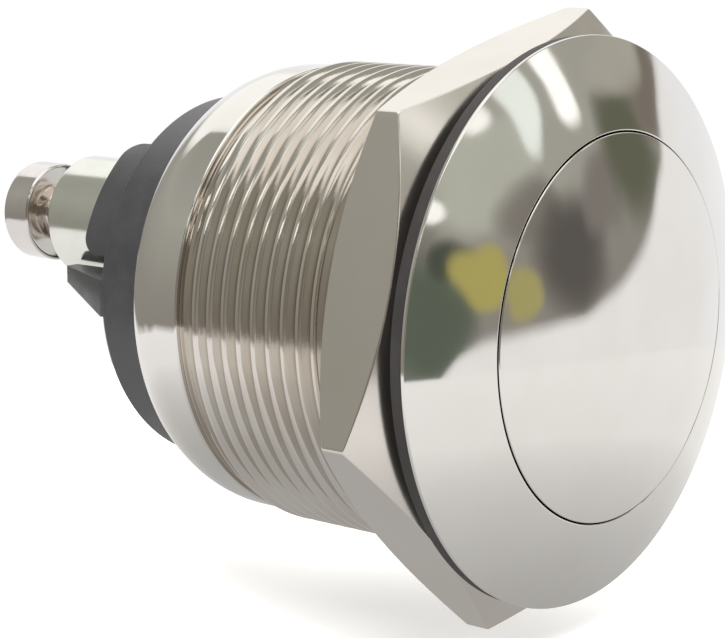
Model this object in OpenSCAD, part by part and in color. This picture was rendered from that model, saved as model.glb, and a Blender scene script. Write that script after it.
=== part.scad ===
// Domed anti vandal push button for a round panel hole, with two screw terminals.
// Every piece is drawn along local +Z, front upwards, and then laid on the Y axis with its front towards -Y.
// The origin is the centre of the flange's seating face, which meets the front of the panel.

/* [Head] */
// Diameter of the flange
head_d = 22; // [20.5:0.1:26]
// Height of the straight rim of the flange
rim_h = 0.15; // [0.1:0.01:1.4]
// Radius of the domed front, shared by the flange and the button
dome_r = 24; // [20:0.5:40]
// Bevel on the outer edges of the flange
rim_bevel = 0.06; // [0.04:0.01:0.1]

/* [Button] */
// Diameter of the button
cap_d = 14.86; // [13:0.02:15.4]
// Radial running gap between the button and the flange
cap_gap = 0.06; // [0.03:0.01:0.1]
// Travel of the button from rest to fully pressed
press_travel = 2; // [1:0.1:2.4]
// Distance from the skirt's edge to the seal groove
cap_groove = 0.6; // [0.4:0.05:0.8]
// Length of the button's skirt below the seating face
cap_skirt = 1.05; // [0.8:0.05:1.4]
// Thickness of the button's crown, measured on the axis
crown_t = 2; // [1.4:0.1:2.2]
// Wall of the button's skirt
skirt_wall = 1.9; // [1.5:0.1:2.2]
// Diameter of the button's stem
stem_d = 6; // [5:0.1:6.6]
// Diameter of the stem's tip inside the plunger
stem_tip_d = 3.6; // [3:0.1:4]

/* [Seals] */
// Cord diameter of the button's sealing ring
cap_ring_d = 0.86; // [0.6:0.02:1]
// Cord diameter of the base's sealing ring
base_ring_d = 0.9; // [0.7:0.02:1]
// Thickness of the flat panel seal
seal_t = 0.55; // [0.3:0.05:1]
// Diameter of the flat panel seal
seal_d = 21.9; // [21:0.1:22]

/* [Barrel] */
// Outer diameter of the thread
thread_d = 19; // [18.6:0.05:19.4]
// Distance from the seating face to the end of the thread
thread_l = 12.15; // [10:0.05:14]
// Width of the groove where the thread runs out
runout_w = 0.35; // [0.2:0.05:0.8]
// Depth of the runout groove
runout_depth = 0.45; // [0.3:0.05:0.6]
// Diameter of the smooth band behind the thread
pilot_d = 18.6; // [18.2:0.05:18.9]
// Length of the straight part of that band
pilot_l = 1; // [0.6:0.1:2]
// Length of the rounded end behind the band
bullet_l = 1.85; // [1:0.05:2.5]
// Amount by which the rounded end draws in
bullet_drop = 0.55; // [0.3:0.05:0.8]
// Diameter of the bore behind the web
cavity_d = 15.7; // [15:0.05:16.2]
// Thickness of the web that guides the stem
web_t = 1.4; // [1:0.1:2]
// Bevel on the mouths of the bores
mouth_bevel = 0.1; // [0.05:0.01:0.2]

/* [Panel nut] */
// Width across the flats
nut_af = 21.2; // [20.6:0.1:24]
// Thickness of the nut
nut_t = 3.6; // [3:0.1:5]
// Diameter of the flat faces inside the corner chamfers
nut_face_d = 19.9; // [19.6:0.1:20.4]
// Slope of the corner chamfers in degrees
nut_chamfer = 30; // [20:1:32]
// Angle of the first corner from +X
nut_turn = 15.4; // [0:0.1:60]

/* [Mechanism] */
// Thickness of the clip on the stem
clip_t = 0.6; // [0.4:0.05:0.8]
// Outer diameter of the clip
clip_d = 8.4; // [7.6:0.1:9]
// Diameter of the groove that holds the clip
clip_groove_d = 4.6; // [4.2:0.1:5]
// Share of that diameter that the clip's mouth leaves open
clip_mouth = 0.7; // [0.5:0.05:0.8]
// Length of stem behind the clip
clip_land = 0.35; // [0.2:0.05:0.5]
// Diameter of the plunger where it is guided
plunger_d = 6.8; // [6.4:0.1:7.2]
// Diameter of the plunger's tail between the contacts
plunger_tail_d = 4.7; // [4.4:0.05:4.9]
// Length of the plunger
plunger_l = 4.75; // [4.5:0.05:5]
// Diameter of the pocket for the contact spring
pocket_d = 3.4; // [3:0.1:3.6]
// Depth of that pocket in front of the slot
pocket_l = 0.55; // [0.4:0.05:0.8]
// Wall between the pocket and the hole for the stem's tip
pocket_wall = 0.6; // [0.4:0.05:0.8]
// Length of the slot for the bridge
slot_l = 1.7; // [1.4:0.05:1.9]
// Solid ring of the plunger behind the slot
plunger_lip = 0.45; // [0.3:0.05:0.6]
// Thickness of the contact bridge
bridge_t = 0.45; // [0.3:0.05:0.6]
// Width of the contact bridge
bridge_w = 2.8; // [2:0.1:3.2]
// Travel of the bridge from open to closed
contact_gap = 1.4; // [0.8:0.05:1.5]
// Diameter of the bridge's contact tips
tip_d = 2.2; // [1.6:0.1:2.6]
// Height of the bridge's contact tips
tip_h = 0.4; // [0.3:0.05:0.6]
// Diameter of the fixed contacts
contact_d = 3; // [2.8:0.1:3.2]
// Height of the fixed contacts above the base's floor
contact_h = 1.7; // [1.4:0.05:1.9]
// Wire of the return spring
return_wire = 0.45; // [0.3:0.01:0.5]
// Turns of the return spring
return_turns = 3; // [2:0.5:3.5]
// Wire of the contact spring
contact_wire = 0.3; // [0.2:0.01:0.35]
// Turns of the contact spring
contact_turns = 3; // [2:0.5:3]

/* [Rear housings] */
// Radial clearance of the mouldings in the barrel
housing_gap = 0.05; // [0.03:0.01:0.1]
// Wall of the mouldings
housing_wall = 1.3; // [1:0.05:1.4]
// Thickness of the disc that guides the plunger
guide_t = 1; // [0.6:0.05:1.1]
// Room between the clip of the pressed button and that disc
clip_room = 0.25; // [0.15:0.05:0.5]
// Depth of the chamber in front of the base's floor
chamber_l = 2.7; // [2.4:0.1:3]
// Distance that the base stands out behind the barrel
base_out = 3; // [2:0.1:5]
// Radial step from the base inside the barrel to its ring behind it
base_step = 0.04; // [0:0.01:0.3]
// Rounding of the base's rear edge
base_round = 0.3; // [0.1:0.05:0.5]
// Height of the guard walls behind the terminals
guard_h = 1.7; // [1:0.05:3]
// Diameter over the guard walls
guard_d = 14.4; // [14:0.1:14.8]
// Half of the angle that each guard wall spans
guard_half_angle = 21.5; // [15:0.5:30]
// Angle by which each guard wall leads its terminal
guard_lead = 3.5; // [0:0.5:5]
// Rounding of a guard wall's free corners
guard_round = 0.8; // [0.3:0.05:1]
// Height of the side fins
fin_h = 3.85; // [3:0.05:5]
// Distance between the tops of the side fins across the base
fin_top_d = 11.8; // [11.2:0.1:12.6]
// Thickness of a side fin at its top
fin_t = 0.7; // [0.5:0.05:0.9]
// Thickness of a side fin at its foot
fin_foot_t = 1.5; // [1:0.05:1.7]
// Length of a side fin's top along the radius
fin_top_l = 0.6; // [0.4:0.05:1]
// Slope of a side fin's inner edge between top and foot
fin_lean = 0.1; // [0:0.05:0.8]
// Sideways shift of a side fin's top
fin_skew = 0.4; // [0:0.05:0.6]
// Height of the barrier between the terminals
barrier_h = 2.6; // [1:0.1:4]
// Thickness of the barrier
barrier_t = 0.9; // [0.6:0.05:1.2]
// Length of the barrier
barrier_l = 9; // [6:0.1:10]

/* [Terminals] */
// Distance between the two terminals
terminal_pitch = 8.1; // [7.6:0.05:8.6]
// Angle of the first terminal from +X
terminal_angle = 142; // [130:1:150]
// Diameter of a terminal post
post_d = 5.2; // [4.2:0.05:5.4]
// Height of a post above the base
post_h = 5.15; // [4.5:0.05:8]
// Bevel on the ends of the posts and the screw heads
post_bevel = 0.15; // [0.05:0.01:0.3]
// Diameter of the post's shank through the base
shank_d = 2.4; // [2:0.05:2.6]
// Thread diameter of the terminal screws
screw_d = 2.5; // [2:0.05:3]
// Metal left between the screw's hole and the foot of the post
post_web = 0.55; // [0.4:0.05:1]
// Length of screw that shows between the post and the head
screw_show = 1.8; // [0.5:0.05:2.5]
// Diameter of a screw head
screw_head_d = 4.25; // [4:0.05:5]
// Height of a screw head
screw_head_h = 1.55; // [1:0.05:2]
// Width of the driver slot
driver_w = 0.6; // [0.4:0.05:0.8]
// Depth of the driver slot
driver_depth = 0.7; // [0.4:0.05:0.9]

/* [Hidden] */
$fn = 96;

// Small allowances, all on the radius or along the axis
slip = 0.05;      // running gap of stems, screws and the nut
face_gap = 0.05;  // gap between faces that only touch in use
hair = 0.02;      // gap left between faces that close on each other
play = 0.1;       // spare room in grooves and past the end of a travel
sink = 0.5;       // depth to which a wall is rooted in the piece that carries it
through = 1;      // overshoot of a cutting tool

// Stations along the axis, measured from the seating face with the front positive
dome_centre = rim_h - sqrt(dome_r * dome_r - head_d * head_d / 4);
apex = dome_centre + dome_r;
cap_bore_r = cap_d / 2 + cap_gap;
cap_mouth = dome_centre + sqrt(dome_r * dome_r - cap_bore_r * cap_bore_r);
cap_floor = -cap_skirt - press_travel - play;
web_back = cap_floor - web_t;
clip_front = web_back - face_gap;
clip_back = clip_front - clip_t;
stem_end = clip_back - clip_land;
plunger_front = stem_end - face_gap;
plunger_back = plunger_front - plunger_l;
slot_back = plunger_back + plunger_lip;
slot_front = slot_back + slot_l;
pocket_front = slot_front + pocket_l;
tip_pocket_end = pocket_front + pocket_wall;
bridge_front = slot_back + bridge_t;
barrel_end = -thread_l - runout_w - pilot_l - bullet_l;
pilot_front = -thread_l - runout_w;
contact_front = slot_back - tip_h - contact_gap - hair;
floor_front = contact_front - contact_h;
base_front = floor_front + chamber_l;
base_back = barrel_end - base_out;
guide_front = clip_back - press_travel - clip_room;
sleeve_front = web_back - face_gap;
housing_r = cavity_d / 2 - housing_gap;
chamber_r = housing_r - housing_wall;
base_out_r = housing_r - base_step;
base_ring_z = (floor_front + barrel_end) / 2;
post_back = base_back - post_h;
head_front = post_back - screw_show;
head_back = head_front - screw_head_h;
nut_front = -seal_t - play;
screw_bore_depth = post_h - post_web;
screw_l = screw_bore_depth - 2 * play;
terminal_r = terminal_pitch / 2;

// Lays a piece that was drawn along Z on the Y axis, front towards -Y
module laid() {
    rotate([90, 0, 0]) children();
}

// Moves a piece to terminal n, 0 or 1
module at_terminal(n) {
    rotate([0, 0, terminal_angle + 180 * n]) translate([terminal_r, 0, 0]) children();
}

// Half section of a solid from the axis out to radius r, between two stations
module bar(r, low, high) {
    translate([0, low]) square([r, high - low]);
}

// Half section of a solid round bar with a bevel on both outer edges
module bevelled_bar(r, low, high, bevel) {
    polygon([[0, low], [r - bevel, low], [r, low + bevel], [r, high - bevel], [r - bevel, high], [0, high]]);
}

// Half section of the space under the dome
module under_dome() {
    translate([0, dome_centre]) intersection() {
        circle(r = dome_r);
        square([dome_r, dome_r]);
    }
}

// Half section of the cone at the mouth of a bore; up is 1 for a mouth that faces forward
module mouth(r, station, up) {
    inner = station - up * mouth_bevel;
    polygon([[0, station], [r + mouth_bevel, station], [r, inner], [0, inner]]);
}

// Round seal of cord diameter d whose outer edge lies at radius r
module seal_ring(r, d, station) {
    rotate_extrude() translate([r - d / 2, station]) circle(d = d, $fn = 32);
}

// Round wire wound from station low to station high, as rings of points joined side by side
module coil(mean_r, wire, turns, low, high) {
    sides = 8;
    steps = 20;
    last = round(turns * steps);
    rise = (high - low - wire) / last;
    points = [for (i = [0:last], j = [0:sides - 1])
        let (turn = 360 * i / steps, side = 360 * j / sides, r = mean_r + wire / 2 * cos(side))
        [r * cos(turn), r * sin(turn), low + wire / 2 + rise * i + wire / 2 * sin(side)]];
    walls = [for (i = [0:last - 1], j = [0:sides - 1])
        let (k = (j + 1) % sides)
        [i * sides + j, i * sides + k, (i + 1) * sides + k, (i + 1) * sides + j]];
    ends = [[for (j = [sides - 1:-1:0]) j], [for (j = [0:sides - 1]) last * sides + j]];
    polyhedron(points = points, faces = concat(walls, ends), convexity = 6);
}

// Flange, threaded barrel and inner web, turned from one bar
module body() {
    bullet_r = (bullet_l * bullet_l + bullet_drop * bullet_drop) / (2 * bullet_drop);
    pilot_r = pilot_d / 2;
    color("silver") laid() rotate_extrude() difference() {
        union() {
            intersection() {
                under_dome();
                bevelled_bar(head_d / 2, 0, apex + through, rim_bevel);
            }
            bevelled_bar(thread_d / 2, -thread_l, rim_h / 2, runout_depth / 2);
            bar(thread_d / 2 - runout_depth, pilot_front - face_gap, -thread_l + face_gap);
            bar(pilot_r, pilot_front - pilot_l, pilot_front);
            intersection() {
                bar(pilot_r, barrel_end, pilot_front - pilot_l / 2);
                translate([pilot_r - bullet_r, pilot_front - pilot_l]) circle(r = bullet_r);
            }
        }
        bar(cap_bore_r, cap_floor, apex + through);
        translate([cap_bore_r, cap_mouth]) polygon([
            [-mouth_bevel, mouth_bevel],
            [2 * mouth_bevel, mouth_bevel],
            [0, -mouth_bevel],
            [-mouth_bevel, -mouth_bevel]]);
        bar(stem_d / 2 + slip, web_back - through, cap_floor + through);
        bar(cavity_d / 2, barrel_end - through, web_back);
        mouth(cavity_d / 2, barrel_end, -1);
    }
}

// Domed button with its skirt, seal groove, stem and clip groove
module button_cap() {
    cap_r = cap_d / 2;
    groove_back = -cap_skirt + cap_groove;
    color("gainsboro") laid() rotate_extrude() difference() {
        union() {
            intersection() {
                under_dome();
                bar(cap_r, -cap_skirt, apex);
            }
            bar(cap_r, -cap_skirt, through);
            bevelled_bar(stem_d / 2, stem_end, apex - crown_t / 2, mouth_bevel);
            bevelled_bar(stem_tip_d / 2, tip_pocket_end + face_gap, stem_end + through, mouth_bevel);
        }
        difference() {
            bar(cap_r - skirt_wall, -cap_skirt - through, apex - crown_t);
            bar(stem_d / 2, -cap_skirt - 2 * through, apex);
        }
        translate([cap_r - cap_ring_d, groove_back]) square([cap_ring_d + through, cap_ring_d + play]);
        translate([clip_groove_d / 2, clip_back - hair]) square([stem_d, clip_t + 2 * hair]);
    }
}

// Sealing ring in the button's groove
module cap_seal() {
    color("dimgray") laid()
        seal_ring(cap_d / 2 + cap_gap / 2, cap_ring_d, -cap_skirt + cap_groove + (play + cap_ring_d) / 2);
}

// Spring round the stem, between the web and the button's crown
module return_spring() {
    color("silver") laid()
        coil((stem_d / 2 + cap_d / 2 - skirt_wall) / 2, return_wire, return_turns,
            cap_floor + face_gap, apex - crown_t - face_gap);
}

// Open clip on the stem, which stops the button against the back of the web
module retaining_clip() {
    color("darkgray") laid() translate([0, 0, clip_back]) difference() {
        cylinder(d = clip_d, h = clip_t);
        translate([0, 0, -through]) cylinder(d = clip_groove_d + 2 * slip, h = clip_t + 2 * through);
        translate([-clip_groove_d * clip_mouth / 2, 0, -through])
            cube([clip_groove_d * clip_mouth, clip_d, clip_t + 2 * through]);
    }
}

// Insulating plunger on the stem's tip, with the pocket and slot that carry the bridge
module plunger() {
    color("white") laid() difference() {
        rotate_extrude() difference() {
            union() {
                bevelled_bar(plunger_d / 2, guide_front - guide_t - face_gap, plunger_front, mouth_bevel);
                bevelled_bar(plunger_tail_d / 2, plunger_back, plunger_front - through, mouth_bevel);
            }
            bar(stem_tip_d / 2 + housing_gap / 2, tip_pocket_end, plunger_front + through);
            bar(pocket_d / 2, plunger_back - through, pocket_front);
        }
        rotate([0, 0, terminal_angle]) translate([0, 0, slot_back + slot_l / 2])
            cube([plunger_d + through, bridge_w + 4 * slip, slot_l], center = true);
    }
}

// Spring in the plunger's pocket that presses on the bridge
module contact_spring() {
    color("silver") laid()
        coil((pocket_d - contact_wire) / 2 - 2 * play, contact_wire, contact_turns,
            bridge_front + face_gap, pocket_front - face_gap);
}

// Flat bar that joins the two fixed contacts when the button is pressed
module contact_bridge() {
    color("peru") laid() rotate([0, 0, terminal_angle]) translate([0, 0, slot_back + face_gap]) {
        translate([-terminal_r, -bridge_w / 2, 0]) cube([2 * terminal_r, bridge_w, bridge_t - face_gap]);
        for (side = [-1, 1]) translate([side * terminal_r, 0, 0])
            cylinder(d = bridge_w, h = bridge_t - face_gap);
    }
}

// Silver tips on the two ends of the bridge
module bridge_tips() {
    color("lightgray") laid() for (n = [0, 1]) at_terminal(n)
        translate([0, 0, slot_back + face_gap - tip_h]) cylinder(d = tip_d, h = tip_h);
}

// Insulating sleeve that lines the barrel and guides the plunger
module guide_sleeve() {
    color("ivory") laid() rotate_extrude() difference() {
        bar(housing_r, base_front + face_gap, sleeve_front);
        bar(chamber_r, guide_front, sleeve_front + through);
        bar(chamber_r, base_front - through, guide_front - guide_t);
        bar(plunger_d / 2 + slip, base_front - through, sleeve_front + through);
    }
}

// Half section of the base: a cup inside the barrel and a ring that stands out behind it
module base_section() {
    difference() {
        union() {
            bar(housing_r, barrel_end - face_gap, base_front);
            bar(base_out_r, base_back + base_round, barrel_end);
            bar(base_out_r - base_round, base_back, barrel_end);
            translate([base_out_r - base_round, base_back + base_round]) circle(r = base_round, $fn = 32);
        }
        bar(chamber_r, floor_front, base_front + through);
        translate([housing_r - base_ring_d, base_ring_z - base_ring_d / 2 - face_gap])
            square([base_ring_d + through, base_ring_d + 2 * face_gap]);
    }
}

// Curved wall behind a terminal, with rounded upper corners
module guard() {
    outer = guard_d / 2;
    half_w = outer * sin(guard_half_angle);
    flat_w = half_w - guard_round;
    top = base_back - guard_h;
    intersection() {
        translate([0, 0, top]) cylinder(r = outer, h = guard_h + sink);
        rotate([90, 0, 90]) linear_extrude(height = outer + through) union() {
            translate([-half_w, top + guard_round]) square([2 * half_w, guard_h - guard_round + sink]);
            translate([-flat_w, top]) square([2 * flat_w, guard_h]);
            for (side = [-1, 1]) translate([side * flat_w, top + guard_round])
                circle(r = guard_round, $fn = 32);
        }
    }
}

// Fin at the side of the base, tapered both ways
module fin() {
    foot_r = base_out_r - face_gap;
    foot_w = fin_foot_t / 2;
    top_r = fin_top_d / 2;
    inner_r = top_r - fin_top_l;
    root = base_back + sink;
    top = base_back - fin_h;
    intersection() {
        rotate([90, 0, 0]) translate([0, 0, -fin_foot_t]) linear_extrude(height = 2 * fin_foot_t)
            polygon([
                [inner_r - fin_lean, root],
                [foot_r, root],
                [foot_r, base_back],
                [top_r, top],
                [inner_r, top]]);
        rotate([90, 0, 90]) linear_extrude(height = foot_r + through) polygon([
            [-foot_w, root],
            [foot_w, root],
            [foot_w, base_back],
            [fin_t / 2 - fin_skew, top],
            [-fin_t / 2 - fin_skew, top],
            [-foot_w, base_back]]);
    }
}

// Rear moulding with its guard walls, side fins and the barrier between the terminals
module base() {
    color([0.2, 0.2, 0.21]) laid() difference() {
        union() {
            rotate_extrude() base_section();
            for (n = [0, 1]) {
                rotate([0, 0, terminal_angle + guard_lead + 180 * n]) difference() {
                    guard();
                    translate([0, 0, base_back - guard_h - through])
                        cylinder(r = terminal_r + post_d / 4, h = guard_h + through);
                }
                rotate([0, 0, 180 * n]) fin();
            }
            rotate([0, 0, terminal_angle + 90])
                translate([-barrier_l / 2, -barrier_t / 2, base_back - barrier_h])
                    cube([barrier_l, barrier_t, barrier_h + sink]);
        }
        for (n = [0, 1]) at_terminal(n) {
            translate([0, 0, base_back - guard_h - barrier_h])
                cylinder(d = post_d + 2 * slip, h = guard_h + barrier_h);
            translate([0, 0, base_back - through])
                cylinder(d = shank_d + 2 * slip, h = floor_front - base_back + 2 * through);
        }
    }
}

// Sealing ring between the base and the barrel
module base_seal() {
    color("dimgray") laid() seal_ring(housing_r + housing_gap / 2, base_ring_d, base_ring_z);
}

// Fixed contact on the inner end of a terminal's shank
module fixed_contact(n) {
    color("lightgray") laid() at_terminal(n)
        translate([0, 0, floor_front]) cylinder(d = contact_d, h = contact_front - floor_front);
}

// Turned post with its tapped bore and the shank that passes through the base
module terminal_post(n) {
    color("silver") laid() at_terminal(n) rotate_extrude() difference() {
        union() {
            bevelled_bar(post_d / 2, post_back, base_back, post_bevel);
            bar(shank_d / 2, base_back - through, floor_front);
        }
        bar(screw_d / 2 + slip, post_back - through, post_back + screw_bore_depth);
        mouth(screw_d / 2 + slip, post_back, -1);
    }
}

// Slotted cheese head screw, backed out of its post as the picture shows it
module terminal_screw(n) {
    color("silver") laid() at_terminal(n) difference() {
        rotate_extrude() union() {
            bevelled_bar(screw_head_d / 2, head_back, head_front, post_bevel);
            bevelled_bar(screw_d / 2, head_front - through, head_front + screw_l, mouth_bevel);
        }
        translate([-screw_head_d, -driver_w / 2, head_back - through])
            cube([2 * screw_head_d, driver_w, driver_depth + through]);
    }
}

// Flat rubber seal against the seating face
module panel_seal() {
    color("black") laid() translate([0, 0, -seal_t]) difference() {
        cylinder(d = seal_d, h = seal_t);
        translate([0, 0, -through]) cylinder(d = thread_d + 2 * slip, h = seal_t + 2 * through);
    }
}

// Hexagon nut with its corners chamfered on both faces
module mounting_nut() {
    corner_r = nut_af / 2 / cos(30);
    face_r = nut_face_d / 2;
    drop = (corner_r - face_r) * tan(nut_chamfer);
    color("silver") laid() translate([0, 0, nut_front - nut_t]) difference() {
        intersection() {
            rotate([0, 0, nut_turn]) cylinder(r = corner_r, h = nut_t, $fn = 6);
            rotate_extrude() polygon([
                [0, 0],
                [face_r, 0],
                [corner_r, drop],
                [corner_r, nut_t - drop],
                [face_r, nut_t],
                [0, nut_t]]);
        }
        translate([0, 0, -through]) cylinder(r = thread_d / 2 + slip, h = nut_t + 2 * through);
    }
}

body();
button_cap();
cap_seal();
return_spring();
retaining_clip();
plunger();
contact_spring();
contact_bridge();
bridge_tips();
guide_sleeve();
base();
base_seal();
fixed_contact(0);  // fixed_contact_a
fixed_contact(1);  // fixed_contact_b
terminal_post(0);  // terminal_post_a
terminal_post(1);  // terminal_post_b
terminal_screw(0);  // terminal_screw_a
terminal_screw(1);  // terminal_screw_b
panel_seal();
mounting_nut();
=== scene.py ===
"""Looks of the domed push button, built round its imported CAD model.

Sizes in this script are millimetres and are turned into metres when a mesh is written. A station is a distance
along the barrel's axis, measured from the flange's seating face with the front positive, so a point at a
station s lies at y = -s.
"""

import math

import bmesh
import bpy
from mathutils import Matrix, Vector


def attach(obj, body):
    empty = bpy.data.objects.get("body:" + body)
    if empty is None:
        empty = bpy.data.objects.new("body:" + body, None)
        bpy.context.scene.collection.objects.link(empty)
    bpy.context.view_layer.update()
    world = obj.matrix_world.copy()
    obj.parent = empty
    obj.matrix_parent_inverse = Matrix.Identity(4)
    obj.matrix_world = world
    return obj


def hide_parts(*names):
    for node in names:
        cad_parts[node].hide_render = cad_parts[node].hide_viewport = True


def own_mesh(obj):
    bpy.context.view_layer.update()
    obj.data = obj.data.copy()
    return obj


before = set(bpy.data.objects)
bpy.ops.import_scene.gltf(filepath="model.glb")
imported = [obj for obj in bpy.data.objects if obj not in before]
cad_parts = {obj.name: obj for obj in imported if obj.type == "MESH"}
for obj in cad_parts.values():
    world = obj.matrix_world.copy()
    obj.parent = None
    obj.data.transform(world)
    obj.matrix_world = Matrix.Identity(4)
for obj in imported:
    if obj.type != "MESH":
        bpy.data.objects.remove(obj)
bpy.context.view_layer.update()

MM = 0.001
TAU = 2 * math.pi
COLUMNS = 288  # faces round the flange, the barrel and the button
POST_COLUMNS = 128
SCREW_COLUMNS = 96
ROWS_PER_TURN = 12  # rows of faces along one turn of a thread
GAP = 0.05  # running gap of stems, screws and the nut
SHARP = 35  # degrees past which an edge stays sharp

# Rounds of a turned profile
ROUND_ROOM = 0.42  # share of the shorter neighbour that a round may take
HELD = 1.25  # where the flat beside a round is held, as a share of the round's reach
ROUND_STEP = 18  # degrees turned by one face of a round

# Head and button
HEAD_R = 11.0
RIM_H = 0.15
DOME_R = 24.0
DOME_CENTRE = RIM_H - math.sqrt(DOME_R**2 - HEAD_R**2)
APEX = DOME_CENTRE + DOME_R
CAP_R = 7.43
CAP_BORE_R = 7.49
CAP_SKIRT = 1.05
CAP_FLOOR = -3.15
CROWN = 2.0
SKIRT_WALL = 1.9
STEM_R = 3.0
STEM_END = -5.55
STEM_TIP_R = 1.8
STEM_TIP_END = -7.0
CLIP_GROOVE_R = 2.3
CLIP_FRONT = -4.58
CLIP_BACK = -5.22
SEAL_GROOVE = 0.86

# Barrel
THREAD_R = 9.5
THREAD_ROOT_R = 9.05
THREAD_PITCH = 0.75
THREAD_FRONT = -0.3
THREAD_BACK = -12.15
PILOT_R = 9.3
PILOT_FRONT = -12.5
PILOT_BACK = -13.5
BULLET_DROP = 0.55
BARREL_END = -15.35
CAVITY_R = 7.85
WEB_BACK = -4.55
BASE_BACK = -18.35

# Nut and panel seal
NUT_FLATS = 21.2
NUT_FRONT = -0.65
NUT_T = 3.6
NUT_FACE_R = 9.95
NUT_BORE_R = THREAD_R + GAP
NUT_TURN = 15.4
NUT_CHAMFER = 30.0
NUT_EDGE = 0.09
NUT_MOUTH = 0.15
NUT_CORNER = 0.22
CORNER_STEP = 10  # degrees between the points of a rounded corner
# Places along a flat of the nut, closer together near its corners
FLAT_SHARES = (0.006, 0.03, 0.07, 0.12, 0.18, 0.25, 0.33, 0.41, 0.5, 0.59, 0.67, 0.75, 0.82, 0.88, 0.93, 0.97, 0.994)
SEAL_R = 10.95
SEAL_T = 0.55

# Terminals
TERMINAL_R = 4.05
TERMINAL_ANGLE = 142.0
POST_R = 2.6
POST_BACK = -23.5
SHANK_R = 1.2
POST_BORE = 4.6
POST_MOUTH = 0.1
FLOOR_FRONT = -13.42
SCREW_R = 1.25
SCREW_ROOT_R = 0.99
SCREW_PITCH = 0.45
SCREW_L = 4.4
HEAD_FRONT = -25.3
HEAD_BACK = -26.85
SCREW_HEAD_R = 2.125
DRIVER_W = 0.6
DRIVER_DEPTH = 0.7
SLOT_ANGLE = 76.0

# Moulded base
BASE_EDGE = 0.06
BASE_EDGE_ANGLE = 40


# ---------------------------------------------------------------- profiles

def dome(r):
    """Station of the domed front at radius r."""
    return DOME_CENTRE + math.sqrt(DOME_R**2 - r * r)


def dome_rows(r_from, r_to, rows):
    """Plain path points along the dome between two radii."""
    radii = [r_from + (r_to - r_from) * i / rows for i in range(rows + 1)]
    return [(r, dome(r), 0) for r in radii]


def rounded(corners, closed):
    """Path of (radius, station) through corners (radius, station, round), each round a short arc with held ends."""
    path = []
    count = len(corners)
    for i, (r, s, round_r) in enumerate(corners):
        here = Vector((r, s))
        if round_r <= 0 or (not closed and i in (0, count - 1)):
            path.append(here)
            continue
        before = Vector(corners[i - 1][:2]) - here
        after = Vector(corners[(i + 1) % count][:2]) - here
        room = ROUND_ROOM * min(before.length, after.length)
        before.normalize()
        after.normalize()
        half = math.acos(max(-1, min(1, before.dot(after)))) / 2
        reach = min(room, round_r / math.tan(half))
        fillet = reach * math.tan(half)
        centre = here + (before + after).normalized() * fillet / math.sin(half)
        start = here + before * reach - centre
        turn = math.pi - 2 * half
        side = 1 if before.x * after.y - before.y * after.x < 0 else -1
        steps = max(2, math.ceil(math.degrees(turn) / ROUND_STEP))
        path.append(here + before * reach * HELD)
        for k in range(steps + 1):
            a = side * turn * k / steps
            spun = (start.x * math.cos(a) - start.y * math.sin(a), start.x * math.sin(a) + start.y * math.cos(a))
            path.append(centre + Vector(spun))
        path.append(here + after * reach * HELD)
    return [(p.x, p.y) for p in path]


def arc_rows(centre_r, centre_s, radius, start, stop, rows):
    """Plain path points along an arc, angles in degrees from the outward radius."""
    points = []
    for i in range(rows + 1):
        a = math.radians(start + (stop - start) * i / rows)
        points.append((centre_r + radius * math.cos(a), centre_s + radius * math.sin(a), 0))
    return points


# ---------------------------------------------------------------- meshes

def spot(r, angle, station):
    """Point in metres at a radius, an angle from +X in radians and a station."""
    return Vector((r * math.cos(angle), -station, r * math.sin(angle))) * MM


def revolve(bm, path, columns, closed):
    """Adds a surface turned about the Y axis and returns its rows of vertices."""
    rows = []
    for r, s in path:
        if r < 1e-5:
            rows.append([bm.verts.new(spot(0, 0, s))])
        else:
            rows.append([bm.verts.new(spot(r, TAU * i / columns, s)) for i in range(columns)])
    pairs = list(zip(rows, rows[1:] + rows[:1]))
    for low, high in pairs if closed else pairs[:-1]:
        for i in range(columns):
            k = (i + 1) % columns
            corners = [low[i % len(low)], low[k % len(low)], high[k % len(high)], high[i % len(high)]]
            bm.faces.new(list(dict.fromkeys(corners)))
    return rows


def stitch(bm, ring_a, ring_b):
    """Joins two rings of vertices round the Y axis by a band of triangles."""
    def angle(v):
        return math.atan2(v.co.z, v.co.x) % TAU

    a, b = sorted(ring_a, key=angle), sorted(ring_b, key=angle)
    i = j = 0
    while i < len(a) or j < len(b):
        next_a = angle(a[(i + 1) % len(a)]) + TAU * ((i + 1) // len(a))
        next_b = angle(b[(j + 1) % len(b)]) + TAU * ((j + 1) // len(b))
        if j >= len(b) or (i < len(a) and next_a <= next_b):
            bm.faces.new((a[i % len(a)], a[(i + 1) % len(a)], b[j % len(b)]))
            i += 1
        else:
            bm.faces.new((a[i % len(a)], b[(j + 1) % len(b)], b[j % len(b)]))
            j += 1


def finished(bm, name, material, move=(0, 0, 0)):
    """Turns a bmesh into a piece with outward faces, smooth shading and real edges kept sharp."""
    bmesh.ops.translate(bm, vec=Vector(move), verts=bm.verts)
    bmesh.ops.remove_doubles(bm, verts=bm.verts, dist=1e-7)
    bmesh.ops.recalc_face_normals(bm, faces=bm.faces)
    mesh = bpy.data.meshes.new(name)
    bm.to_mesh(mesh)
    bm.free()
    mesh.shade_smooth()
    mesh.set_sharp_from_angle(angle=math.radians(SHARP))
    mesh.materials.append(material)
    piece = bpy.data.objects.new(name, mesh)
    bpy.context.collection.objects.link(piece)
    return piece


def evaluated(piece):
    """The piece's mesh with its modifiers applied and removed."""
    graph = bpy.context.evaluated_depsgraph_get()
    mesh = bpy.data.meshes.new_from_object(piece.evaluated_get(graph))
    piece.modifiers.clear()
    return mesh


# ---------------------------------------------------------------- Geometry Nodes

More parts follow.
